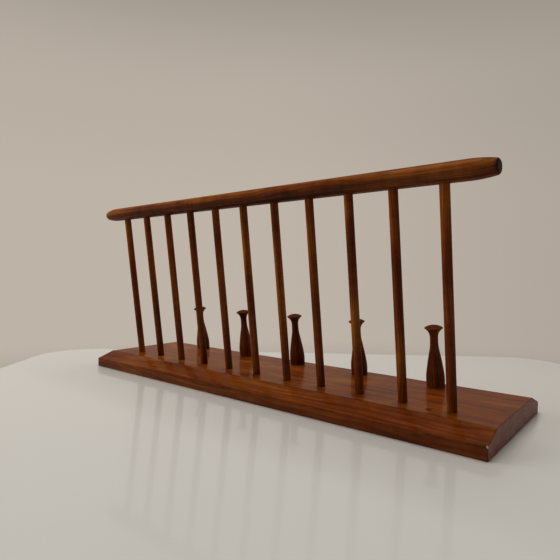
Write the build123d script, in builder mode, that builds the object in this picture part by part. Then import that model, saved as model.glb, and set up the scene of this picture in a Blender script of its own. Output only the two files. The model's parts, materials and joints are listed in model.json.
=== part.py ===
from build123d import *
import os
from math import cos, radians, sin

# Wall rack in wood: a bevelled back board, a fence of eleven spindles under a shaped rail
# along one long side, and a row of five turned pegs along the other.
# Units are millimetres. +X runs along the board, +Y goes from the fence towards the pegs and
# +Z is up from the board's underside. The origin is the centre of the board's underside.

# ---- driving dimensions
board_length = 754.0
board_depth = 229.0
board_thickness = 27.0
bevel_width = 33.0
bevel_drop = 11.5
long_edge_radius = 1.2
end_edge_radius = 0.6

lean_deg = 7.3  # spindles and pegs all lean this far towards the fence side

spindle_count = 11
spindle_pitch = 63.5
spindle_radius = 6.0
spindle_chamfer = 0.8
spindle_row_y = -51.1
spindle_hole_depth = 18.0  # in the board

rail_length = 754.0
rail_height = 24.4
rail_depth = 30.0
rail_centre_z = 305.5
rail_taper_length = 32.0
rail_end_share = 0.72  # height of the end face as a share of the full section
rail_end_radius = 1.8
rail_hole_depth = 12.0

peg_count = 5
peg_pitch = 127.0
peg_row_y = 58.4
peg_foot_radius = 12.6
peg_body_radius = 13.1
peg_body_height = 12.0
peg_neck_radius = 5.7
peg_neck_height = 68.0
peg_rim_radius = 12.8
peg_rim_height = 87.2
peg_rim_half = 0.8  # half the thickness of the rounded rim
peg_rim_inset = 0.6
peg_top_height = 91.5
peg_tenon_radius = 6.0
peg_hole_depth = 18.0

glue_line = 0.05  # all round each dowel and tenon
glue_pocket = 1.0  # left past the end of each dowel and tenon

screw_offset_x = 293.5
screw_y = -62.5
screw_hole_radius = 2.5
screw_sink_radius = 4.6

# ---- values worked out from the dimensions
half_length = board_length / 2
half_depth = board_depth / 2
bevel_start = half_depth - bevel_width
edge_height = board_thickness - bevel_drop
lean = radians(lean_deg)
lean_dir = Vector(0, -sin(lean), cos(lean))
rail_distance = (rail_centre_z - board_thickness) / cos(lean)
rail_hole_end = rail_distance - rail_height / 2 + rail_hole_depth
spindle_xs = [(i - (spindle_count - 1) / 2) * spindle_pitch for i in range(spindle_count)]
peg_xs = [(i - (peg_count - 1) / 2) * peg_pitch for i in range(peg_count)]


def lean_plane(x, y, distance=0.0):
    """Plane square to the lean, that far along the lean from a point on the board's top."""
    start = Vector(x, y, board_thickness) + lean_dir * distance
    return Plane(origin=start, x_dir=(1, 0, 0), z_dir=lean_dir)


def side_plane(x, y):
    """Plane through a leaning axis: its X is the part's X and its Y runs up the axis."""
    return Plane(origin=(x, y, board_thickness), x_dir=(1, 0, 0), z_dir=(0, -cos(lean), -sin(lean)))


os.makedirs("parts", exist_ok=True)

# ---- back board: bevelled along both long edges, bored for spindles, pegs and two screws
with BuildPart() as base_board:
    with BuildSketch(Plane.YZ.offset(-half_length)):
        with BuildLine():
            Polyline(
                (-half_depth, 0),
                (half_depth, 0),
                (half_depth, edge_height),
                (bevel_start, board_thickness),
                (-bevel_start, board_thickness),
                (-half_depth, edge_height),
                close=True,
            )
        make_face()
    extrude(amount=board_length)
    long_edges = base_board.edges().filter_by(Axis.X)
    fillet(long_edges.filter_by_position(Axis.Z, edge_height, edge_height), long_edge_radius)
    end_faces = base_board.faces().filter_by(Plane.YZ)
    end_edges = end_faces.edges().filter_by_position(Axis.Z, edge_height / 4, board_thickness)
    fillet(end_edges, end_edge_radius)
    for x in spindle_xs:
        with BuildSketch(lean_plane(x, spindle_row_y, -spindle_hole_depth)):
            Circle(spindle_radius + glue_line)
        extrude(amount=spindle_hole_depth + spindle_radius, mode=Mode.SUBTRACT)
    for x in peg_xs:
        with BuildSketch(lean_plane(x, peg_row_y, -peg_hole_depth)):
            Circle(peg_tenon_radius + glue_line)
        extrude(amount=peg_hole_depth + peg_tenon_radius, mode=Mode.SUBTRACT)
    with Locations(*[(side * screw_offset_x, screw_y, board_thickness) for side in (-1, 1)]):
        CounterSinkHole(radius=screw_hole_radius, counter_sink_radius=screw_sink_radius)
base_board.part.label = "base_board"
export_step(base_board.part, "parts/base_board.step")

# ---- top rail: turned outline made oval, each end narrowing in a curve to a small flat face
rail_half = rail_length / 2
taper_start = rail_half - rail_taper_length
side_height = rail_height / 2
end_height = side_height * rail_end_share

with BuildPart() as rail_blank:
    with BuildSketch(Plane.XZ):
        with BuildLine():
            Line((-taper_start, side_height), (taper_start, side_height))
            for side in (-1, 1):
                shoulder = (side * taper_start, side_height)
                corner = (side * rail_half, end_height)
                TangentArc(shoulder, corner, tangent=(side, 0))
                Line(corner, (side * rail_half, 0))
            Line((-rail_half, 0), (rail_half, 0))
        make_face()
        end_corners = vertices().filter_by_position(Axis.Y, end_height, end_height)
        fillet(end_corners, rail_end_radius)
    revolve(axis=Axis.X)
    scale(by=(1, rail_depth / rail_height, 1))

with BuildPart() as top_rail:
    with Locations(Vector(0, spindle_row_y, board_thickness) + lean_dir * rail_distance):
        add(rail_blank.part, rotation=(lean_deg, 0, 0))
    for x in spindle_xs:
        with BuildSketch(lean_plane(x, spindle_row_y, rail_hole_end)):
            Circle(spindle_radius + glue_line)
        extrude(amount=-rail_height, mode=Mode.SUBTRACT)
top_rail.part.label = "top_rail"
export_step(top_rail.part, "parts/top_rail.step")

# ---- spindles: plain dowels, glued into blind holes in the board and in the rail
spindle_foot = glue_pocket - spindle_hole_depth
spindle_length = rail_hole_end - glue_pocket - spindle_foot
for number, x in enumerate(spindle_xs, start=1):
    with BuildPart() as spindle:
        with BuildSketch(lean_plane(x, spindle_row_y, spindle_foot)):
            Circle(spindle_radius)
        extrude(amount=spindle_length)
        chamfer(spindle.edges().filter_by(GeomType.CIRCLE), spindle_chamfer)
    spindle.part.label = f"spindle_{number:02d}"
    export_step(spindle.part, f"parts/{spindle.part.label}.step")

# ---- pegs: turned in one piece with their tenons, feet trimmed to sit flat on the board
foot_spare = 4.0  # turned this far past the board's top before the foot is trimmed
under_rim = (peg_rim_radius - peg_rim_inset, peg_rim_height - peg_rim_half)
over_rim = (peg_rim_radius - peg_rim_inset, peg_rim_height + peg_rim_half)
for number, x in enumerate(peg_xs, start=1):
    with BuildPart() as peg:
        with BuildSketch(side_plane(x, peg_row_y)):
            with BuildLine():
                Polyline(
                    (0, peg_top_height),
                    (0, -foot_spare),
                    (peg_foot_radius, -foot_spare),
                    (peg_foot_radius, 0),
                )
                Spline(
                    (peg_foot_radius, 0),
                    (peg_body_radius, peg_body_height),
                    (11.0, 31.5),
                    (7.3, 52.5),
                    (peg_neck_radius, peg_neck_height),
                    tangents=((0.05, 1), (0, 1)),
                )
                Spline(
                    (peg_neck_radius, peg_neck_height),
                    (6.6, 79),
                    under_rim,
                    tangents=((0, 1), (1, 0.75)),
                )
                ThreePointArc(under_rim, (peg_rim_radius, peg_rim_height), over_rim)
                TangentArc((0, peg_top_height), over_rim, tangent=(1, 0))
            make_face()
        revolve(axis=Axis((x, peg_row_y, board_thickness), lean_dir))
        split(bisect_by=Plane.XY.offset(board_thickness), keep=Keep.TOP)
        with BuildSketch(lean_plane(x, peg_row_y, glue_pocket - peg_hole_depth)):
            Circle(peg_tenon_radius)
        extrude(amount=peg_hole_depth - glue_pocket + foot_spare)
    peg.part.label = f"peg_{number}"
    export_step(peg.part, f"parts/{peg.part.label}.step")
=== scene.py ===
import json
import math
import random

import bmesh
import bpy
import numpy as np
from mathutils import Matrix, Vector, noise


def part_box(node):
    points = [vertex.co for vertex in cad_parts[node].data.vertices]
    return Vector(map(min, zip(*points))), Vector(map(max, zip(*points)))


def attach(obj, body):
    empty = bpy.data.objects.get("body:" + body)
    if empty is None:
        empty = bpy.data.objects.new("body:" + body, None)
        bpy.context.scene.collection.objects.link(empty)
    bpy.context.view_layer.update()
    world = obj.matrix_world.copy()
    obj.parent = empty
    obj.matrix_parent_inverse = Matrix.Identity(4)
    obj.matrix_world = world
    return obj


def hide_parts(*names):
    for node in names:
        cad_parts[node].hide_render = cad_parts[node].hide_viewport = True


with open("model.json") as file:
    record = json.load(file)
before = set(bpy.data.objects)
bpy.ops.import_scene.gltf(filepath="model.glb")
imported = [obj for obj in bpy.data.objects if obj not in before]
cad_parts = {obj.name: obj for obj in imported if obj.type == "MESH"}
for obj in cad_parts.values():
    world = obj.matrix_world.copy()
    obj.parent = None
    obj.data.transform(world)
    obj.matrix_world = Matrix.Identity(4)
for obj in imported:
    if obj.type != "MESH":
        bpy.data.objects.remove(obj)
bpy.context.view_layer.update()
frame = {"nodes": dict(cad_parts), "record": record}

MM = 0.001
SPINDLES = sorted(n for n in frame["nodes"] if n.startswith("spindle_"))
PEGS = sorted(n for n in frame["nodes"] if n.startswith("peg_"))

SHARP_ANGLE = math.radians(40)  # faces that turn by more than this meet in a sharp edge
HOLE_PLAY = 0.05 * MM           # how much wider than its dowel each bored hole is
BORE_SIDES = 48
CUTTER_OVERRUN = 1 * MM         # how far a cutter stands out beyond the wood it cuts

# ---- the board: its bevel is the CAD's, and its edges are rounded a little more than the CAD's
BEVEL_WIDTH = 33 * MM
BEVEL_DROP = 11.5 * MM
ARRIS = 1.9 * MM          # radius of the two corners where a bevel meets an edge
CREASE = 2.0 * MM         # radius of the two lines where a bevel meets the top
FOOT_ARRIS = 1.2 * MM     # radius of the two long edges of the underside
END_ROUND = 1.0 * MM      # radius of the edges around each end face
ARC_STEPS = 5
FLAT_SPAN = 9 * MM        # width of the strips that a flat of the section is divided into
BOARD_SPANS = 180
CAP_SHARE = 0.975         # size of the flat inside the rim of each end face
UNEVENNESS = 0.25 * MM    # most that the rounded edges are worn back
WEAR_REACH = 1.3 * MM     # how far wear fades onto the flat beside a rounded edge
SOCKET_DEPTH = 26 * MM    # length of the cutters that bore the spindles' and pegs' holes
SCREW_RADIUS = 2.5 * MM
SINK_RADIUS = 4.6 * MM
SINK_DEPTH = 2.4 * MM
SCREW_SIDES = 40
UNLIT_BELOW = 0.3 * MM    # the screw holes are painted nearly black as shade from this far below the board's top

# ---- a small chip in the board's corner at +X, -Y, which shows paler wood
CHIP_REACH = 1.9 * MM
CHIP_RISE = 0.3 * MM
CHIP_TURN = 0.5
CHIP_SIDES = 7
CHIP_PROFILE = [
    (-1.9 * MM, 0), (-1.2 * MM, 1.0 * MM), (0.2 * MM, 1.5 * MM), (1.5 * MM, 0.8 * MM), (1.9 * MM, 0),
]

# ---- values of the wear and shade layer: 0 on plain wood, up to 1 on worn edges, and beyond for two special places: the chip, and the painted shade inside the screw holes
WORN = 1.0
CHIPPED = 3.0
UNLIT = -1.0

# ---- the rail: its taper is the CAD's, and its ends are rounded more than the CAD's
RAIL_TAPER = 32 * MM
RAIL_END_SHARE = 0.72     # height of the end face as a share of the rail's height
RAIL_END_ROUND = 3.2 * MM
RAIL_END_STEPS = 7
RAIL_CAP_SHARES = (0, 0.5, 0.85)  # rings on the end face, as shares of its height
RAIL_STEP = 2.0           # mm between rings along the taper
RAIL_SPANS = 170
RAIL_SIDES = 72
RAIL_UNEVENNESS = 0.012
RAIL_BORE_LENGTH = 40 * MM

# ---- the spindles and the pegs
SPINDLE_CHAMFER = 0.8 * MM
SPINDLE_STATIONS = 72
SPINDLE_SIDES = 40
SPINDLE_UNEVENNESS = 0.02
PEG_TENON_RADIUS = 6 * MM
PEG_TENON_LENGTH = 17 * MM
PEG_TENON_CHAMFER = 0.8 * MM
PEG_FOOT_SKIP = 1.5 * MM  # the peg's profile is read from this far above its tenon
PEG_FOOT_RUN = 4 * MM     # and is carried straight down this far, to be cut off at the board's top
PEG_FOOT_GAP = 0.2 * MM
PEG_STUB_RISE = 3 * MM    # the tenon is made this much too long, and cut off there too
PEG_STEP = 1.6 * MM       # between rings of the body
PEG_CAP_HEIGHT = 8.2 * MM  # deeper than this below the tip, the rings are PEG_STEP apart
PEG_CAP_DEPTHS = [         # rings of the cap, in mm below the tip
    7.4, 6.7, 6.1, 5.6, 5.3, 5.12, 5.03, 4.93, 4.82, 4.68, 4.5, 4.3, 4.1, 3.92, 3.78,
    3.67, 3.57, 3.5, 3.2, 2.7, 2.1, 1.5, 1.0, 0.6, 0.3, 0.08,
]
PEG_RIM_LOW = -5.5 * MM   # the cap's rim, where the finish wears
PEG_RIM_HIGH = -3.3 * MM
PEG_SIDES = 56
PEG_UNEVENNESS = 0.012


# ---------------------------------------------------------------- places read from the frame
def points_of(node):
    """A CAD node's vertices as an array, in metres."""
    mesh = frame["nodes"][node].data
    flat = np.zeros(len(mesh.vertices) * 3)
    mesh.vertices.foreach_get("co", flat)
    return flat.reshape(-1, 3)


def rod_of(node):
    """Foot, direction, length and radius of a straight round rod."""
    points = points_of(node)
    centre = (points.min(0) + points.max(0)) / 2
    direction = np.linalg.svd(points - centre, full_matrices=False)[2][0]
    direction *= math.copysign(1, direction[2])
    along = (points - centre) @ direction
    across = np.linalg.norm(points - centre - np.outer(along, direction), axis=1)
    foot = centre + direction * along.min()
    return Vector(foot), Vector(direction), along.max() - along.min(), across.max()


board_low, board_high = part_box("base_board")
TOP = board_high.z
HALF_LENGTH = (board_high.x - board_low.x) / 2
HALF_DEPTH = (board_high.y - board_low.y) / 2
rods = {name: rod_of(name) for name in SPINDLES}
LEAN = sum((rod[1] for rod in rods.values()), Vector()).normalized()
LEAN_ANGLE = math.atan2(-LEAN.y, LEAN.z)
LEAN_TURN = Matrix.Rotation(LEAN_ANGLE, 4, "X")
rail_low, rail_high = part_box("top_rail")
RAIL_CENTRE = (rail_low + rail_high) / 2
RAIL_HALF = (rail_high.x - rail_low.x) / 2
rail_points = points_of("top_rail") - np.array(RAIL_CENTRE)
RAIL_HEIGHT = float(np.abs(rail_points @ np.array(LEAN)).max())
RAIL_DEPTH = float(np.abs(rail_points @ np.array(LEAN.cross(Vector((1, 0, 0))))).max())
taper_drop = RAIL_HEIGHT * (1 - RAIL_END_SHARE)
TAPER_RADIUS = (RAIL_TAPER**2 + taper_drop**2) / (2 * taper_drop)  # of the arc that narrows the rail
screws = next(m for m in frame["record"]["mounts"] if m["name"] == "wall_screws")
SCREW_Y = screws["pos_m"][1]
SCREW_X = screws["dims"]["spacing_x_mm"] * MM / 2


# ---------------------------------------------------------------- mesh helpers
def make_object(name, bm, place=None):
    """A smooth-shaded object from a bmesh, with sharp edges where faces turn by more than SHARP_ANGLE."""
    mesh = bpy.data.meshes.new(name)
    bm.normal_update()
    bm.to_mesh(mesh)
    bm.free()
    mesh.shade_smooth()
    mesh.set_sharp_from_angle(angle=SHARP_ANGLE)
    piece = bpy.data.objects.new(name, mesh)
    bpy.context.scene.collection.objects.link(piece)
    if place is not None:
        piece.matrix_world = place
    return piece


def apply_modifiers(piece):
    """Turns the piece's modifiers into its mesh."""
    bpy.context.view_layer.update()
    graph = bpy.context.evaluated_depsgraph_get()
    evaluated = piece.evaluated_get(graph)
    mesh = bpy.data.meshes.new_from_object(evaluated, preserve_all_data_layers=True, depsgraph=graph)
    piece.modifiers.clear()
    piece.data = mesh


def weigh_normals(piece):
    """Keeps wide flat faces flat-looking beside their rounded edges."""
    modifier = piece.modifiers.new("weighted", "WEIGHTED_NORMAL")
    modifier.keep_sharp = True
    modifier.weight = 80


def wear_and_shade_layer(bm):
    """Point value that is 1 on rounded edges, where the finish wears first; it also marks the chip and the
    painted shade inside the screw holes.
    """
    return bm.verts.layers.float.get("wear_and_shade") or bm.verts.layers.float.new("wear_and_shade")


def join_rings(bm, rings, sides):
    """Faces between neighbouring rings. A ring of one vertex closes that end in a point."""
    for lower, upper in zip(rings, rings[1:]):
        for k in range(sides):
            a, b = lower[k % len(lower)], lower[(k + 1) % len(lower)]
            c, d = upper[(k + 1) % len(upper)], upper[k % len(upper)]
            bm.faces.new([v for i, v in enumerate((a, b, c, d)) if v not in (a, b, c, d)[:i]])


def lathe(bm, profile, sides, shape=None, wear_and_shade=()):
    """Turns a profile of (height, radius) about Z. A radius of 0 closes that end in a point."""
    layer = wear_and_shade_layer(bm)
    rings = []
    for index, (height, radius) in enumerate(profile):
        value = wear_and_shade[index] if index < len(wear_and_shade) else 0.0
        if radius <= 0:
            tip = bm.verts.new((0, 0, height))
            tip[layer] = value
            rings.append([tip])
            continue
        ring = []
        for k in range(sides):
            turn = 2 * math.pi * k / sides
            size = radius if shape is None else radius * shape(turn, height)
            vertex = bm.verts.new((size * math.cos(turn), size * math.sin(turn), height))
            vertex[layer] = value
            ring.append(vertex)
        rings.append(ring)
    join_rings(bm, rings, sides)


def cutter(name, profile, sides, place):
    """A closed lathe used to bore a hole."""
    bm = bmesh.new()
    lathe(bm, profile, sides)
    return make_object(name, bm, place)


def round_bit(name, low, high, radius, place):
    """A cylinder between two heights, used to bore a dowel's hole."""
    hole = radius + HOLE_PLAY
    return cutter(name, [(low, 0), (low, hole), (high, hole), (high, 0)], BORE_SIDES, place)


def bore(piece, cutters):
    """Cuts every cutter out of the piece, then removes the cutters."""
    for tool in cutters:
        modifier = piece.modifiers.new(tool.name, "BOOLEAN")
        modifier.operation = "DIFFERENCE"
        modifier.solver = "EXACT"
        modifier.object = tool
    apply_modifiers(piece)
    for tool in cutters:
        bpy.data.objects.remove(tool)


def lean_place(origin):
    """Frame whose Z runs along the lean, at a given origin."""
    return Matrix.Translation(origin) @ LEAN_TURN


def round_corner(corner, before, after, radius, steps):
    """Points and outward normals of an arc that rounds one corner of an outline."""
    corner, before, after = Vector(corner), Vector(before), Vector(after)
    into = (corner - before).normalized()
    out = (after - corner).normalized()
    turn = into.angle_signed(out)
    half = abs(turn) / 2
    setback = radius * math.tan(half)
    start_normal = Vector((into.y, -into.x))
    start = corner - into * setback
    centre = start - start_normal * radius
    arc = []
    for k in range(steps + 1):
        angle = 2 * half * k / steps
        normal = Vector((
            start_normal.x * math.cos(angle) - start_normal.y * math.sin(angle),
            start_normal.x * math.sin(angle) + start_normal.y * math.cos(angle),
        ))
        arc.append((centre + normal * radius, normal))
    return arc


def board_outline():
    """The board's rounded section as (point, normal, on_edge), anticlockwise, with flats divided."""
    edge_height = TOP - BEVEL_DROP
    crest = HALF_DEPTH - BEVEL_WIDTH
    corners = [
        ((-HALF_DEPTH, 0), FOOT_ARRIS),
        ((HALF_DEPTH, 0), FOOT_ARRIS),
        ((HALF_DEPTH, edge_height), ARRIS),
        ((crest, TOP), CREASE),
        ((-crest, TOP), CREASE),
        ((-HALF_DEPTH, edge_height), ARRIS),
    ]
    arcs = []
    for index, (corner, radius) in enumerate(corners):
        before = corners[index - 1][0]
        after = corners[(index + 1) % len(corners)][0]
        arcs.append(round_corner(corner, before, after, radius, ARC_STEPS))
    outline = []
    for index, arc in enumerate(arcs):
        outline += [(point, normal, WORN) for point, normal in arc]
        start, normal = arc[-1]
        end = arcs[(index + 1) % len(arcs)][0][0]
        guard = WEAR_REACH / (end - start).length
        flats = max(1, round((end - start).length / FLAT_SPAN))
        shares = [guard] + [guard + (1 - 2 * guard) * k / flats for k in range(1, flats)] + [1 - guard]
        outline += [(start.lerp(end, share), normal, 0.0) for share in shares]
    return outline


# ---------------------------------------------------------------- the pieces
def build_board():
    """The back board: rounded, slightly uneven edges, bored and countersunk."""
    outline = board_outline()
    straight = HALF_LENGTH - END_ROUND
    quarter = [math.radians(90 * k / ARC_STEPS) for k in range(ARC_STEPS + 1)]
    tip = [(-straight - END_ROUND * math.cos(a), END_ROUND * (1 - math.sin(a))) for a in quarter]
    middle = [(-straight + WEAR_REACH, 0.0)]
    middle += [(-straight + 2 * straight * k / BOARD_SPANS, 0.0) for k in range(1, BOARD_SPANS)]
    middle += [(straight - WEAR_REACH, 0.0)]
    rows = tip + middle + [(-x, inset) for x, inset in reversed(tip)]
    bm = bmesh.new()
    layer = wear_and_shade_layer(bm)
    rings = []
    for x, inset in rows:
        ring = []
        for point, normal, on_edge in outline:
            place = point - normal * inset
            worn = on_edge * UNEVENNESS * noise.noise(Vector((x * 35, place.x * 20, place.y * 20)))
            place -= normal * max(0.0, worn)
            vertex = bm.verts.new((x, place.x, max(place.y, 0.0)))
            vertex[layer] = max(on_edge, WORN if inset > 0 else 0.0)
            ring.append(vertex)
        rings.append(ring)
    count = len(outline)
    join_rings(bm, rings, count)
    middle_height = Vector((0, TOP / 2))
    for ring in (rings[0], rings[-1]):
        cap = []
        for vertex in ring:
            spot = middle_height + (Vector((vertex.co.y, vertex.co.z)) - middle_height) * CAP_SHARE
            cap.append(bm.verts.new((vertex.co.x, spot.x, spot.y)))
        join_rings(bm, (ring, cap), count)
        bm.faces.new(cap)
    bmesh.ops.recalc_face_normals(bm, faces=bm.faces)
    board = make_object("board_piece", bm)
    cutters = []
    for index, name in enumerate(SPINDLES):
        foot, _, _, radius = rods[name]
        cutters.append(round_bit(f"bore_{index}", -CUTTER_OVERRUN, SOCKET_DEPTH, radius, lean_place(foot)))
    for index, name in enumerate(PEGS):
        tip, heights, _ = peg_frame(name)
        low = heights[0]
        cutters.append(round_bit(
            f"socket_{index}", low - CUTTER_OVERRUN, low + SOCKET_DEPTH, PEG_TENON_RADIUS, lean_place(tip)))
    screw_profile = [
        (-TOP - CUTTER_OVERRUN, 0),
        (-TOP - CUTTER_OVERRUN, SCREW_RADIUS),
        (-SINK_DEPTH, SCREW_RADIUS),
        (0, SINK_RADIUS),
        (CUTTER_OVERRUN, SINK_RADIUS + CUTTER_OVERRUN),
        (CUTTER_OVERRUN, 0),
    ]
    for side in (-1, 1):
        place = Matrix.Translation((side * SCREW_X, SCREW_Y, TOP))
        cutters.append(cutter("screw_hole", screw_profile, SCREW_SIDES, place))
    corner = Vector((HALF_LENGTH, -HALF_DEPTH, TOP - BEVEL_DROP + CHIP_RISE))
    place = Matrix.Translation(corner) @ Matrix.Rotation(CHIP_TURN, 4, "X")
    cutters.append(cutter("chip", CHIP_PROFILE, CHIP_SIDES, place))
    bore(board, cutters)
    wear_and_shade = board.data.attributes["wear_and_shade"]
    for vertex in board.data.vertices:
        if (vertex.co - corner).length < CHIP_REACH:
            wear_and_shade.data[vertex.index].value = CHIPPED
        # painted shade: the insides of the screw holes are marked to be painted nearly black
        off_axis = math.hypot(abs(vertex.co.x) - SCREW_X, vertex.co.y - SCREW_Y)
        if off_axis < SINK_RADIUS and vertex.co.z < TOP - UNLIT_BELOW:
            wear_and_shade.data[vertex.index].value = UNLIT
    board.data.set_sharp_from_angle(angle=SHARP_ANGLE)
    weigh_normals(board)
    return board


def peg_frame(name):
    """Place of a peg, with the origin at the tip of its dome, and its profile as (height, radius) arrays."""
    points = points_of(name)
    along = points @ np.array(LEAN)
    tip = points[along.argmax()]
    offset = points - tip
    height = offset @ np.array(LEAN)
    radius = np.linalg.norm(offset - np.outer(height, np.array(LEAN)), axis=1)
    order = np.argsort(height)
    return Vector(tip), height[order], radius[order]


def edge_shape(seed, amount):
    """A slight out-of-roundness for a turned or sanded piece, only ever inwards."""
    def shape(turn, height):
        spot = Vector((math.cos(turn) * 1.3 + seed, math.sin(turn) * 1.3 - seed, height * 18))
        return min(1.0, 1 + amount * noise.noise(spot))
    return shape


def build_spindle(name, seed):
    """A plain dowel with chamfered ends, sanded by hand so that it isn't quite even."""
    foot, _, length, radius = rods[name]
    slim = radius - SPINDLE_CHAMFER
    profile = [(0, 0), (0, slim), (SPINDLE_CHAMFER, radius)]
    profile += [(length * k / SPINDLE_STATIONS, radius) for k in range(1, SPINDLE_STATIONS)]
    profile += [(length - SPINDLE_CHAMFER, radius), (length, slim), (length, 0)]
    bm = bmesh.new()
    lathe(bm, profile, SPINDLE_SIDES, edge_shape(seed, SPINDLE_UNEVENNESS))
    return make_object(name + "_piece", bm, lean_place(foot))


def build_peg(name, seed):
    """A turned peg: cap, waist and belly, cut flat on the board's top, with its tenon."""
    tip, heights, radii = peg_frame(name)
    low = heights[0]
    body = heights > low + (PEG_TENON_LENGTH + PEG_FOOT_SKIP)
    heights, radii = heights[body], radii[body]
    depths = [k * PEG_STEP for k in range(int(-heights[0] / PEG_STEP), 0, -1)]
    depths = [d for d in depths if d > PEG_CAP_HEIGHT] + [d * MM for d in PEG_CAP_DEPTHS]
    profile = [(heights[0] - PEG_FOOT_RUN, radii[0]), (heights[0] - PEG_FOOT_GAP, radii[0])]
    profile += [(-d, float(np.interp(-d, heights, radii))) for d in depths]
    wear_and_shade = [WORN if PEG_RIM_LOW < h < PEG_RIM_HIGH else 0.0 for h, _ in profile]
    profile.append((0.0, 0.0))
    bm = bmesh.new()
    lathe(bm, profile, PEG_SIDES, edge_shape(seed, PEG_UNEVENNESS), wear_and_shade)
    place = lean_place(tip)
    plane_point = place.inverted() @ Vector((tip.x, tip.y, TOP))
    plane_normal = (place.inverted().to_3x3() @ Vector((0, 0, 1))).normalized()
    cut(bm, plane_point, plane_normal)
    outer = [e for e in bm.edges if len(e.link_faces) == 1]
    tenon = bmesh.new()
    stub = [
        (low, 0),
        (low, PEG_TENON_RADIUS - PEG_TENON_CHAMFER),
        (low + PEG_TENON_CHAMFER, PEG_TENON_RADIUS),
        (heights[0] + PEG_STUB_RISE, PEG_TENON_RADIUS),
    ]
    lathe(tenon, stub, PEG_SIDES)
    cut(tenon, plane_point, -plane_normal)
    extra = bpy.data.meshes.new("tenon")
    tenon.to_mesh(extra)
    tenon.free()
    known = set(bm.edges)
    bm.from_mesh(extra)
    bpy.data.meshes.remove(extra)
    inner = [e for e in bm.edges if e not in known and len(e.link_faces) == 1]
    bmesh.ops.bridge_loops(bm, edges=outer + inner)
    bmesh.ops.recalc_face_normals(bm, faces=bm.faces)
    return make_object(name + "_piece", bm, place)


def cut(bm, point, normal):
    """Removes what lies on the negative side of a plane."""
    everything = bm.verts[:] + bm.edges[:] + bm.faces[:]
    bmesh.ops.bisect_plane(bm, geom=everything, dist=1e-7, plane_co=point, plane_no=normal, clear_inner=True)


def rail_half_height(distance):
    """Half the height of the rail's taper at a distance from its end, before the edge is rounded."""
    return RAIL_HEIGHT - TAPER_RADIUS + math.sqrt(TAPER_RADIUS**2 - (RAIL_TAPER - distance) ** 2)


def build_rail():
    """The top rail: an oval bar that narrows to a small rounded face at each end."""
    slope = math.asin(RAIL_TAPER / TAPER_RADIUS)
    end_height = rail_half_height(0)
    inward = (math.cos(slope), end_height + math.sin(slope))
    arc = round_corner((0, end_height), inward, (0, 0), RAIL_END_ROUND, RAIL_END_STEPS)
    rim = [(point.x, point.y) for point, _ in reversed(arc)]
    profile = [(0.0, rim[0][1] * share) for share in RAIL_CAP_SHARES] + rim
    worn = len(profile)
    start = math.ceil(rim[-1][0] / MM) + 1.0
    profile += [(d * MM, rail_half_height(d * MM)) for d in np.arange(start, RAIL_TAPER / MM, RAIL_STEP)]
    spans = RAIL_SPANS // 2
    flat = RAIL_HALF - RAIL_TAPER
    profile += [(RAIL_TAPER + flat * k / spans, RAIL_HEIGHT) for k in range(spans + 1)]
    half = [(distance - RAIL_HALF, height) for distance, height in profile]
    full = half + [(-x, height) for x, height in reversed(half[:-1])]
    bm = bmesh.new()
    layer = wear_and_shade_layer(bm)
    rings = []
    for index, (x, height) in enumerate(full):
        from_end = min(index, len(full) - 1 - index)
        value = WORN if len(RAIL_CAP_SHARES) <= from_end < worn else 0.0
        if height <= 0:
            point = bm.verts.new((x, 0, 0))
            point[layer] = 0.0
            rings.append([point])
            continue
        ring = []
        depth = height * RAIL_DEPTH / RAIL_HEIGHT
        for k in range(RAIL_SIDES):
            turn = 2 * math.pi * k / RAIL_SIDES
            spot = Vector((x * 9, math.cos(turn) * 1.1, math.sin(turn) * 1.1 + 4))
            uneven = 1 + RAIL_UNEVENNESS * min(0.0, noise.noise(spot))
            vertex = bm.verts.new((x, depth * math.cos(turn) * uneven, height * math.sin(turn) * uneven))
            vertex[layer] = value
            ring.append(vertex)
        rings.append(ring)
    join_rings(bm, rings, RAIL_SIDES)
    bmesh.ops.recalc_face_normals(bm, faces=bm.faces)
    rail = make_object("rail_piece", bm, lean_place(RAIL_CENTRE))
    cutters = []
    for index, name in enumerate(SPINDLES):
        foot, _, length, radius = rods[name]
        low, high = length - RAIL_BORE_LENGTH, length + CUTTER_OVERRUN
        cutters.append(round_bit(f"rail_bore_{index}", low, high, radius, lean_place(foot)))
    bore(rail, cutters)
    rail.data.set_sharp_from_angle(angle=SHARP_ANGLE)
    return rail


# ---------------------------------------------------------------- wood
def grain_coords(piece, axis, seed):
    """Stores each point's place in the timber, in mm with X along the grain, so no two pieces match."""
    mesh = piece.data
    flat = np.zeros(len(mesh.vertices) * 3)
    mesh.vertices.foreach_get("co", flat)
    points = flat.reshape(-1, 3) / MM
    if axis == "Z":
        points = points[:, [2, 0, 1]]
    points = points + np.array(seed)
    layer = mesh.attributes.new("grain", "FLOAT_VECTOR", "POINT")
    layer.data.foreach_set("vector", points.ravel())


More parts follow.
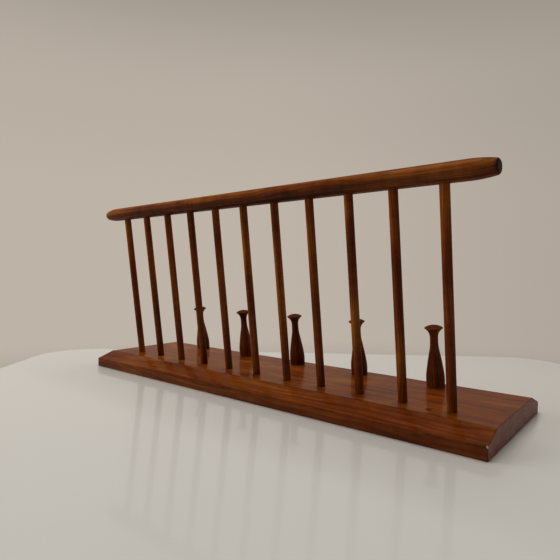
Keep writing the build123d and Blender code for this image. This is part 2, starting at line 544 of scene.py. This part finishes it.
class Graph:
    """Short calls for building one material's nodes."""

    def __init__(self, tree):
        self.tree = tree

    def add(self, kind, inputs=None, **settings):
        node = self.tree.nodes.new(kind)
        for key, value in settings.items():
            setattr(node, key, value)
        for key, value in (inputs or {}).items():
            self.put(node.inputs[key], value)
        return node

    def put(self, socket, value):
        if isinstance(value, bpy.types.NodeSocket):
            self.tree.links.new(value, socket)
        else:
            socket.default_value = value

    def math(self, operation, a, b=0.0):
        return self.add("ShaderNodeMath", {0: a, 1: b}, operation=operation).outputs[0]

    def vector(self, operation, a, b):
        return self.add("ShaderNodeVectorMath", {0: a, 1: b}, operation=operation).outputs[0]

    def dot(self, a, b):
        return self.add("ShaderNodeVectorMath", {0: a, 1: b}, operation="DOT_PRODUCT").outputs["Value"]

    def pattern(self, name, place, output="Fac"):
        """One of the noises in PATTERNS, at a place in the timber."""
        scale, detail, roughness = PATTERNS[name]
        inputs = {"Scale": 1.0, "Detail": detail, "Roughness": roughness}
        inputs["Vector"] = self.vector("MULTIPLY", place, scale)
        return self.add("ShaderNodeTexNoise", inputs).outputs[output]

    def span(self, value, low, high, to_low=0.0, to_high=1.0, smooth=True):
        node = self.add("ShaderNodeMapRange", {0: value, 1: low, 2: high, 3: to_low, 4: to_high}, clamp=True)
        node.interpolation_type = "SMOOTHSTEP" if smooth else "LINEAR"
        return node.outputs[0]

    def mix(self, share, a, b, blend="MIX"):
        node = self.add("ShaderNodeMix", data_type="RGBA", blend_type=blend)
        for socket, value in zip((node.inputs[0], node.inputs[6], node.inputs[7]), (share, a, b)):
            self.put(socket, value)
        return node.outputs[2]

    def tint(self, share, colour, tone):
        """The colour, multiplied by a tone where the share is high."""
        return self.mix(share, colour, self.mix(1.0, colour, (*tone, 1.0), "MULTIPLY"))

    def ramp(self, value, stops):
        node = self.add("ShaderNodeValToRGB", {0: value})
        elements = node.color_ramp.elements
        while len(elements) < len(stops):
            elements.new(0.5)
        for element, (place, colour) in zip(elements, stops):
            element.position = place
            element.color = (*colour, 1.0)
        return node.outputs[0]

    def total(self, start, parts):
        """start plus each (value, middle, amount) as (value - middle) * amount."""
        result = start
        for value, middle, amount in parts:
            swing = self.math("MULTIPLY", self.math("SUBTRACT", value, middle), amount)
            result = self.math("ADD", swing, result)
        return result


BOARD_IN_LOG = 300.0  # where the middles of the board and of the rail lie along their logs, mm
RAIL_IN_LOG = 2500.0
LOW_SHADE_SLANT = 0.009   # how fast the painted shade on the rail's lower part rises along the rail, mm per mm
WANDER = 26.0         # how far the grain wanders from straight, mm
RING_WOBBLE = 2.6     # how far the growth rings wobble, in rings
PORE_SCALE = (0.16, 1.9, 1.9)

# noises in the timber: cycles per mm along the grain and twice across it, detail and roughness
PATTERNS = {
    "wander": ((0.0035, 0.011, 0.011), 2.0, 0.5),
    "fibre": ((0.022, 1.5, 1.5), 5.0, 0.62),
    "streak": ((0.0045, 0.19, 0.19), 3.0, 0.55),
    "cloud": ((0.011, 0.035, 0.035), 2.0, 0.5),
    "bars": ((0.085, 0.028, 0.028), 2.0, 0.55),
    "slow": ((0.0075, 0.02, 0.02), 1.0, 0.5),
    "wobble": ((0.006, 0.05, 0.05), 2.0, 0.5),
    "end_speckle": ((0.2, 1.1, 1.1), 3.0, 0.6),
    "end_patch": ((0.05, 0.045, 0.09), 3.0, 0.55),
    "rub": ((0.06, 0.5, 0.5), 3.0, 0.6),
    "skin": ((0.03, 0.09, 0.09), 2.0, 0.5),
}

# colours to mix in, and tones to multiply by
PORE_TONE = (0.25, 0.2, 0.18)
GRIME_TONE = (0.35, 0.3, 0.3)
RING_TONE = (0.62, 0.52, 0.48)
END_GREY_AND_SHEEN = (0.318, 0.186, 0.144, 1.0)
RUDDY_END = (0.294, 0.118, 0.073, 1.0)
RUBBED_COLOUR = (0.30, 0.13, 0.05, 1.0)
# painted shade: nearly black, for the insides of the screw holes
UNLIT_COLOUR = (0.004, 0.002, 0.001, 1.0)
CHIP_COLOUR = (0.50, 0.36, 0.25, 1.0)


def wood(name, end_axis, tones, gold, pith, ring_width, ring_strength, flame, drift, painted_low_shade, coat, end_dark,
         end_grey_and_sheen):
    """Varnished hardwood: fibres, growth rings, pores, slow changes of tone, and duller end grain.

    end_axis is the object's axis that its end faces look along. tones are the dark, middle and light
    colours, gold the tone of the yellower patches, and pith the place of the tree's centre across the
    grain, in mm. ring_width is in mm. ring_strength, flame and drift are the strengths of the rings, of
    bars across the grain and of slow changes along the piece, and the argument after drift is the strength
    of a painted shade that darkens the lower part of the piece. coat is the weight of the varnish. end_dark
    is the brightness of the end grain beside the sides, and the last argument is how much of it is a
    grey-brown wash instead, partly the end grain's own duller colour and partly a painted sheen.
    """
    material = bpy.data.materials.new(name)
    material.use_nodes = True
    tree = material.node_tree
    tree.nodes.clear()
    g = Graph(tree)
    grain = g.add("ShaderNodeAttribute", attribute_name="grain", attribute_type="GEOMETRY").outputs["Vector"]
    wear_and_shade = g.add("ShaderNodeAttribute", attribute_name="wear_and_shade", attribute_type="GEOMETRY").outputs["Fac"]
    edge = g.span(wear_and_shade, 0.0, WORN, smooth=False)

    # the pattern of the grain, in a timber whose grain isn't quite straight, and a painted shade on the
    # rail's lower part
    wander = g.vector("SUBTRACT", g.pattern("wander", grain, "Color"), (0.5, 0.5, 0.5))
    bent = g.vector("ADD", grain, g.vector("MULTIPLY", wander, (0.0, WANDER, WANDER)))
    fibre = g.pattern("fibre", bent)
    streak = g.pattern("streak", bent)
    cloud = g.pattern("cloud", bent)
    bars = g.pattern("bars", bent)
    slow = g.pattern("slow", grain)
    spot = g.add("ShaderNodeSeparateXYZ", {0: bent}).outputs
    # painted shade: the height in the piece below which it is painted darker, rising slowly along the rail
    along = g.math("SUBTRACT", spot["X"], RAIL_IN_LOG)
    low_shade_height = g.math("SUBTRACT", spot["Z"], g.math("MULTIPLY", along, LOW_SHADE_SLANT))
    across = g.vector("MULTIPLY", g.vector("SUBTRACT", bent, (0.0, *pith)), (0.0, 1.0, 1.0))
    from_pith = g.add("ShaderNodeVectorMath", {0: across}, operation="LENGTH").outputs["Value"]
    wobble = g.math("MULTIPLY", g.pattern("wobble", grain), RING_WOBBLE)
    rings = g.math("FRACT", g.math("ADD", g.math("DIVIDE", from_pith, ring_width), wobble))
    late = g.math("MULTIPLY", g.span(rings, 0.3, 0.9), g.span(rings, 1.0, 0.92))
    tone = g.total(0.5, [
        (fibre, 0.5, 0.58),
        (streak, 0.5, 0.78),
        (cloud, 0.5, 0.75),
        (bars, 0.5, flame),
        (late, 0.35, -ring_strength),
        (slow, 0.5, drift),
        # painted shade: darker lower down in the piece, used on the rail
        (g.span(low_shade_height, 7.0, -3.0), 0.4, -painted_low_shade),
    ])

    # the colour of the sides: yellower patches, then pores
    dark, middle, light = tones
    colour = g.ramp(tone, [(0.12, dark), (0.48, middle), (0.86, light)])
    gilt = g.total(0.42, [(slow, 0.5, 1.9), (streak, 0.5, 0.9), (cloud, 0.5, 0.7)])
    colour = g.tint(g.span(gilt, 0.42, 0.95, 0.0, 0.85), colour, gold)
    cells = g.add("ShaderNodeTexVoronoi", {"Vector": g.vector("MULTIPLY", bent, PORE_SCALE), "Scale": 1.0})
    pore = g.span(cells.outputs["Distance"], 0.30, 0.12)
    pore = g.math("MULTIPLY", pore, g.span(streak, 0.62, 0.42, 0.25, 1.0))
    colour = g.tint(g.math("MULTIPLY", pore, 0.5), colour, PORE_TONE)

    # the end grain, whose grey wash is partly its own duller colour and partly a painted sheen
    normal = g.add("ShaderNodeTexCoord").outputs["Normal"]
    facing = g.add("ShaderNodeSeparateXYZ", {0: normal}).outputs[end_axis]
    end = g.span(g.math("ABSOLUTE", facing), 0.55, 0.97)
    end_speckle = g.pattern("end_speckle", grain)
    end_low = (*[c * end_dark for c in middle], 1.0)
    end_high = (*[c * end_dark * 1.5 for c in light], 1.0)
    end_colour = g.mix(g.span(end_speckle, 0.35, 0.7), end_low, end_high)
    # a grey-brown wash over the end grain stands partly for its own duller colour and partly for a painted
    # sheen
    end_wash_and_sheen = g.mix(g.span(g.pattern("end_patch", grain), 0.40, 0.62), END_GREY_AND_SHEEN, RUDDY_END)
    end_colour = g.mix(end_grey_and_sheen, end_colour, end_wash_and_sheen)
    ring_shade = g.total(0.25, [(late, 0.0, 0.45), (end_speckle, 0.5, 1.3)])
    colour = g.mix(end, colour, g.tint(ring_shade, end_colour, RING_TONE))

    # edges rubbed pale or grimy, the painted shade inside the screw holes, and the chip
    rub = g.pattern("rub", grain)
    rubbed = g.math("MULTIPLY", edge, g.span(rub, 0.60, 0.74))
    colour = g.mix(g.math("MULTIPLY", rubbed, 0.10), colour, RUBBED_COLOUR)
    colour = g.mix(g.span(wear_and_shade, -0.02, -0.3), colour, UNLIT_COLOUR)
    grime = g.math("MULTIPLY", edge, g.span(rub, 0.62, 0.40))
    colour = g.tint(g.math("MULTIPLY", grime, 0.5), colour, GRIME_TONE)
    colour = g.mix(g.span(wear_and_shade, 1.3, 2.4), colour, CHIP_COLOUR)

    # the wood's own relief, and the smoother film of varnish over it
    roughness = g.total(0.46, [(fibre, 0.5, 0.25), (cloud, 0.5, 0.2), (end, 0.0, 0.15), (rubbed, 0.0, 0.12)])
    height = g.total(0.0, [(fibre, 0.5, 0.5), (pore, 0.0, -1.0), (late, 0.0, 0.15)])
    relief = g.add("ShaderNodeBump", {"Strength": 0.5, "Distance": 0.08 * MM, "Height": height})
    film = g.total(0.0, [(g.pattern("skin", grain), 0.5, 1.0), (fibre, 0.5, 0.05), (pore, 0.0, -0.06)])
    film_relief = g.add("ShaderNodeBump", {"Strength": 0.35, "Distance": 0.4 * MM, "Height": film})
    surface = g.add("ShaderNodeBsdfPrincipled", {
        "Base Color": colour,
        "Roughness": roughness,
        "Normal": relief.outputs[0],
        "Coat Normal": film_relief.outputs[0],
    })
    surface.inputs["IOR"].default_value = 1.45
    surface.inputs["Specular IOR Level"].default_value = 0.06
    surface.inputs["Coat Weight"].default_value = coat
    surface.inputs["Coat Roughness"].default_value = 0.09
    surface.inputs["Coat IOR"].default_value = 1.5
    output = g.add("ShaderNodeOutputMaterial")
    tree.links.new(surface.outputs[0], output.inputs["Surface"])
    return material


def finish_piece(piece, node, material, axis, seed):
    """Hides the piece's CAD node, hangs the piece on its body, and gives it its wood."""
    grain_coords(piece, axis, seed)
    piece.data.materials.clear()
    piece.data.materials.append(material)
    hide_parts(node)
    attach(piece, "root")


board_wood = wood(
    "board_wood", "X",
    tones=((0.066, 0.0140, 0.0011), (0.146, 0.0325, 0.0024), (0.245, 0.072, 0.0066)),
    gold=(1.0, 1.25, 1.2),
    pith=(28.0, -70.0), ring_width=5.2, ring_strength=0.16, flame=0.25, drift=0.35,
    painted_low_shade=0.0, coat=0.27, end_dark=1.0, end_grey_and_sheen=0.75,
)
rail_wood = wood(
    "rail_wood", "X",
    tones=((0.056, 0.0140, 0.0032), (0.140, 0.0365, 0.0062), (0.270, 0.090, 0.0130)),
    gold=(1.0, 1.15, 1.2),
    pith=(9.0, -26.0), ring_width=3.6, ring_strength=0.13, flame=0.42, drift=0.45,
    painted_low_shade=0.38, coat=0.16, end_dark=0.12, end_grey_and_sheen=0.0,
)
spindle_wood = wood(
    "spindle_wood", "Z",
    tones=((0.060, 0.0108, 0.0012), (0.156, 0.0345, 0.0032), (0.290, 0.086, 0.0095)),
    gold=(1.05, 1.35, 1.2),
    pith=(14.0, 7.0), ring_width=2.8, ring_strength=0.2, flame=0.3, drift=0.95,
    painted_low_shade=0.0, coat=0.14, end_dark=0.5, end_grey_and_sheen=0.1,
)
peg_wood = wood(
    "peg_wood", "Z",
    tones=((0.040, 0.0075, 0.0012), (0.118, 0.0250, 0.0030), (0.225, 0.060, 0.0080)),
    gold=(1.05, 1.3, 1.2),
    pith=(16.0, 9.0), ring_width=2.8, ring_strength=0.2, flame=0.3, drift=0.6,
    painted_low_shade=0.0, coat=0.12, end_dark=0.45, end_grey_and_sheen=0.0,
)

draw = random.Random(1957)
LOG_RANGES = ((0, 5000), (-4, 4), (-4, 4))  # where pieces may lie in the log, mm
SPINDLE_SEED_STEP = 3.7   # between the seeds of neighbouring pieces' unevenness
PEG_SEED_STEP = 5.3


def timber_seed():
    """A place of its own in the timber for one piece, in mm."""
    return [draw.uniform(low, high) for low, high in LOG_RANGES]


finish_piece(build_board(), "base_board", board_wood, "X", [BOARD_IN_LOG, 0.0, 0.0])
finish_piece(build_rail(), "top_rail", rail_wood, "X", [RAIL_IN_LOG, 0.0, 0.0])
for number, name in enumerate(SPINDLES):
    spindle = build_spindle(name, number * SPINDLE_SEED_STEP)
    finish_piece(spindle, name, spindle_wood, "Z", timber_seed())
for number, name in enumerate(PEGS):
    peg = build_peg(name, number * PEG_SEED_STEP)
    finish_piece(peg, name, peg_wood, "Z", timber_seed())


# ---------------------------------------------------------------- camera
CAMERA_PLACE = Vector((0.5207, -0.6211, 0.1923))
CAMERA_AZIMUTH = math.radians(39.685)
CAMERA_DOWN = math.radians(0.964)
CAMERA_ROLL = math.radians(0.420)
CAMERA_LENS = 30.63    # mm, on a 36 mm sensor
SENSOR_WIDTH = 36.0
forward = Vector((
    -math.sin(CAMERA_AZIMUTH) * math.cos(CAMERA_DOWN),
    math.cos(CAMERA_AZIMUTH) * math.cos(CAMERA_DOWN),
    -math.sin(CAMERA_DOWN),
))
right = Vector((math.cos(CAMERA_AZIMUTH), math.sin(CAMERA_AZIMUTH), 0.0))
upward = right.cross(forward)
camera_x = right * math.cos(CAMERA_ROLL) + upward * math.sin(CAMERA_ROLL)
camera_y = upward * math.cos(CAMERA_ROLL) - right * math.sin(CAMERA_ROLL)
camera = bpy.data.objects.new("camera", bpy.data.cameras.new("camera"))
camera.data.sensor_width = SENSOR_WIDTH
camera.data.lens = CAMERA_LENS
camera.data.clip_start = 0.01
camera.matrix_world = Matrix((
    (camera_x.x, camera_y.x, -forward.x, CAMERA_PLACE.x),
    (camera_x.y, camera_y.y, -forward.y, CAMERA_PLACE.y),
    (camera_x.z, camera_y.z, -forward.z, CAMERA_PLACE.z),
    (0, 0, 0, 1),
))
bpy.context.scene.collection.objects.link(camera)
bpy.context.scene.camera = camera


# ---------------------------------------------------------------- table, wall and light
# the table's outline, in metres to the right of the camera and ahead of it
TABLE_LEFT = -0.545
TABLE_RIGHT = 0.60
TABLE_NEAR = -0.50
TABLE_FAR_LEFT = 1.178
TABLE_FAR_RIGHT = 1.090
TABLE_CORNER = 0.10
TABLE_CORNER_STEPS = 12
TABLE_THICKNESS = 0.03


def build_table():
    """A pale glossy table top with rounded corners, its far edge nearly square to the camera's view."""
    ahead = Vector((-math.sin(CAMERA_AZIMUTH), math.cos(CAMERA_AZIMUTH)))
    side = Vector((math.cos(CAMERA_AZIMUTH), math.sin(CAMERA_AZIMUTH)))
    centre = Vector((CAMERA_PLACE.x, CAMERA_PLACE.y))
    outline = [
        (TABLE_LEFT, TABLE_NEAR),
        (TABLE_RIGHT, TABLE_NEAR),
        (TABLE_RIGHT, TABLE_FAR_RIGHT),
        (TABLE_LEFT, TABLE_FAR_LEFT),
    ]
    bm = bmesh.new()
    loop = []
    for index, spot in enumerate(outline):
        after = outline[(index + 1) % len(outline)]
        arc = round_corner(spot, outline[index - 1], after, TABLE_CORNER, TABLE_CORNER_STEPS)
        for point, _ in arc:
            place = centre + side * point.x + ahead * point.y
            loop.append(bm.verts.new((place.x, place.y, 0.0)))
    bm.faces.new(loop)
    rim = bmesh.ops.extrude_face_region(bm, geom=bm.faces[:])
    for vertex in rim["geom"]:
        if isinstance(vertex, bmesh.types.BMVert):
            vertex.co.z -= TABLE_THICKNESS
    bmesh.ops.recalc_face_normals(bm, faces=bm.faces)
    table = make_object("table_top", bm)
    material = bpy.data.materials.new("pale_lacquer")
    material.use_nodes = True
    surface = material.node_tree.nodes["Principled BSDF"]
    surface.inputs["Base Color"].default_value = (0.53, 0.532, 0.522, 1)
    surface.inputs["Roughness"].default_value = 0.35
    surface.inputs["Specular IOR Level"].default_value = 0.3
    surface.inputs["Coat Weight"].default_value = 0.5
    surface.inputs["Coat Roughness"].default_value = 0.06
    table.data.materials.append(material)


WALL_COLOUR = (0.565, 0.508, 0.445, 1.0)
GLOW_WAY = (-0.05, 0.12, 0.99)  # direction of the soft glow overhead


def build_wall():
    """The world as a warm grey wall, darker to the right, high up and behind, with a soft glow overhead."""
    world = bpy.data.worlds.new("wall")
    bpy.context.scene.world = world
    world.use_nodes = True
    tree = world.node_tree
    tree.nodes.clear()
    g = Graph(tree)
    way = g.add("ShaderNodeTexCoord").outputs["Generated"]
    level = g.add("ShaderNodeSeparateXYZ", {0: way}).outputs["Z"]
    bright = g.total(1.0, [
        (g.span(g.dot(way, tuple(right)), -0.1, 0.9), 0.0, -0.20),    # to the right
        (g.span(level, 0.12, 0.35), 0.0, -0.06),                      # a little up
        (g.span(level, 0.33, 0.75), 0.0, -0.58),                      # high up
        (g.span(g.dot(way, tuple(forward)), 0.3, -0.7), 0.0, -0.25),  # behind the camera
        (g.span(level, -0.135, -0.18), 0.0, -0.10),                   # below: a painted shadow on the wall just above the table's far edge
        (g.span(g.dot(way, GLOW_WAY), 0.80, 0.99), 0.0, 1.9),         # the glow
    ])
    shade = g.add("ShaderNodeBackground", {"Color": WALL_COLOUR, "Strength": bright})
    output = g.add("ShaderNodeOutputWorld")
    tree.links.new(shade.outputs[0], output.inputs["Surface"])


LIGHT_TARGET = (0, 0, 0.1)
LIGHT_COLOUR = (1.0, 0.985, 0.96)


def soft_light(name, place, size, power):
    """A square area light that faces the rack and leaves no highlight of its own."""
    lamp = bpy.data.lights.new(name, "AREA")
    lamp.size = size
    lamp.energy = power
    lamp.color = LIGHT_COLOUR
    light = bpy.data.objects.new(name, lamp)
    light.location = place
    light.visible_glossy = False
    light.rotation_euler = (Vector(LIGHT_TARGET) - Vector(place)).to_track_quat("-Z", "Y").to_euler()
    bpy.context.scene.collection.objects.link(light)


build_table()
build_wall()
soft_light("ceiling", (0.0, 0.15, 1.9), size=1.1, power=24)
soft_light("window", (-1.8, -1.0, 0.9), size=1.4, power=30)

view = bpy.context.scene.view_settings
view.view_transform = "Standard"
view.gamma = 0.85
